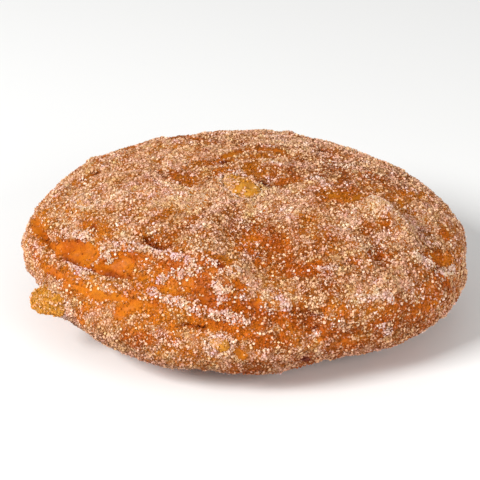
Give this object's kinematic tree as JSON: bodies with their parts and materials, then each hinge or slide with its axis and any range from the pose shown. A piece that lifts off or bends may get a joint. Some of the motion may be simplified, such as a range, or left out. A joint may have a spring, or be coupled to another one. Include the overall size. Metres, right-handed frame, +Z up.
{
  "type": "apple fritter",
  "caption": "Oval fried dough fritter with soft folds round its side, sugared all over, with pieces of cooked fruit showing in its skin.",
  "frame": {"origin": "centre of the object's outline on the table that it rests on", "axes": "+X along the oval's long way, +Y from the front with the open folds to the back, +Z up"},
  "size_m": [0.12, 0.098, 0.038],
  "materials": {
    "fried_dough": "golden brown fried dough under a coat of cinnamon sugar",
    "cooked_fruit": "moist yellow cooked fruit",
    "sugar": "clear and tan sugar crystals"
  },
  "bodies": {
    "root": {"dough": "fried_dough", "fruit_chunk_top": "cooked_fruit", "fruit_chunk_left_side": "cooked_fruit", "fruit_chunk_front": "cooked_fruit", "fruit_chunk_left_top": "cooked_fruit"}
  },
  "joints": []
}
